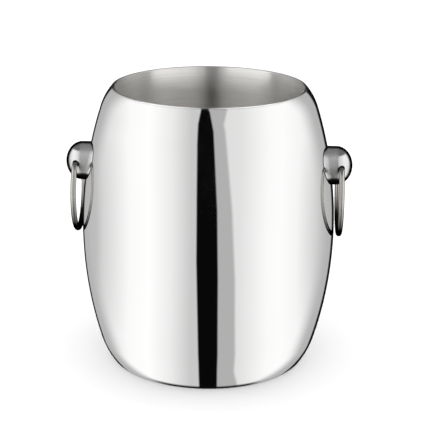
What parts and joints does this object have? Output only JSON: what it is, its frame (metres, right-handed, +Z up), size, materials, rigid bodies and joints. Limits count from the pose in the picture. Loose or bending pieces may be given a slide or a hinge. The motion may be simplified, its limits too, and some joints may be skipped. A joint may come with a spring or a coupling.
{
  "type": "champagne bucket",
  "caption": "Barrel-shaped double-walled steel champagne bucket with a mirror outside, a satin inside, side knobs and drop rings.",
  "frame": {"origin": "centre of the foot, on the surface it stands on", "axes": "+Z up along the barrel's axis; the knobs stand on the X axis, the left one at -X and the right one at +X; the rings swing about lines parallel to Y"},
  "size_m": [0.2256, 0.2, 0.221],
  "materials": {
    "mirror_wall": "stainless steel, mirror polished",
    "satin_liner": "stainless steel, brushed round the axis, satin",
    "base_steel": "stainless steel, pressed, satin",
    "polished_knob": "turned stainless steel, polished",
    "polished_ring": "stainless steel wire, polished, slightly worn",
    "pad_alloy": "cast aluminium, as cast",
    "spring_steel": "spring steel, dark",
    "nut_steel": "stainless steel, machined"
  },
  "bodies": {
    "bucket": {"outer_shell": "mirror_wall", "inner_liner": "satin_liner", "base_pan": "base_steel", "left_knob": "polished_knob", "left_saddle_pad": "pad_alloy", "left_lock_washer": "spring_steel", "left_nut": "nut_steel", "right_knob": "polished_knob", "right_saddle_pad": "pad_alloy", "right_lock_washer": "spring_steel", "right_nut": "nut_steel"},
    "left_ring": {"left_ring": "polished_ring"},
    "right_ring": {"right_ring": "polished_ring"}
  },
  "joints": [
    {"name": "left_ring_swing", "type": "hinge", "parent": "bucket", "child": "left_ring", "pos_m": [-0.1036, 0, 0.1602], "axis": [0, 1, 0], "range_deg": [-1, 200]},
    {"name": "right_ring_swing", "type": "hinge", "parent": "bucket", "child": "right_ring", "pos_m": [0.1036, 0, 0.1602], "axis": [0, -1, 0], "range_deg": [-1, 200]}
  ]
}
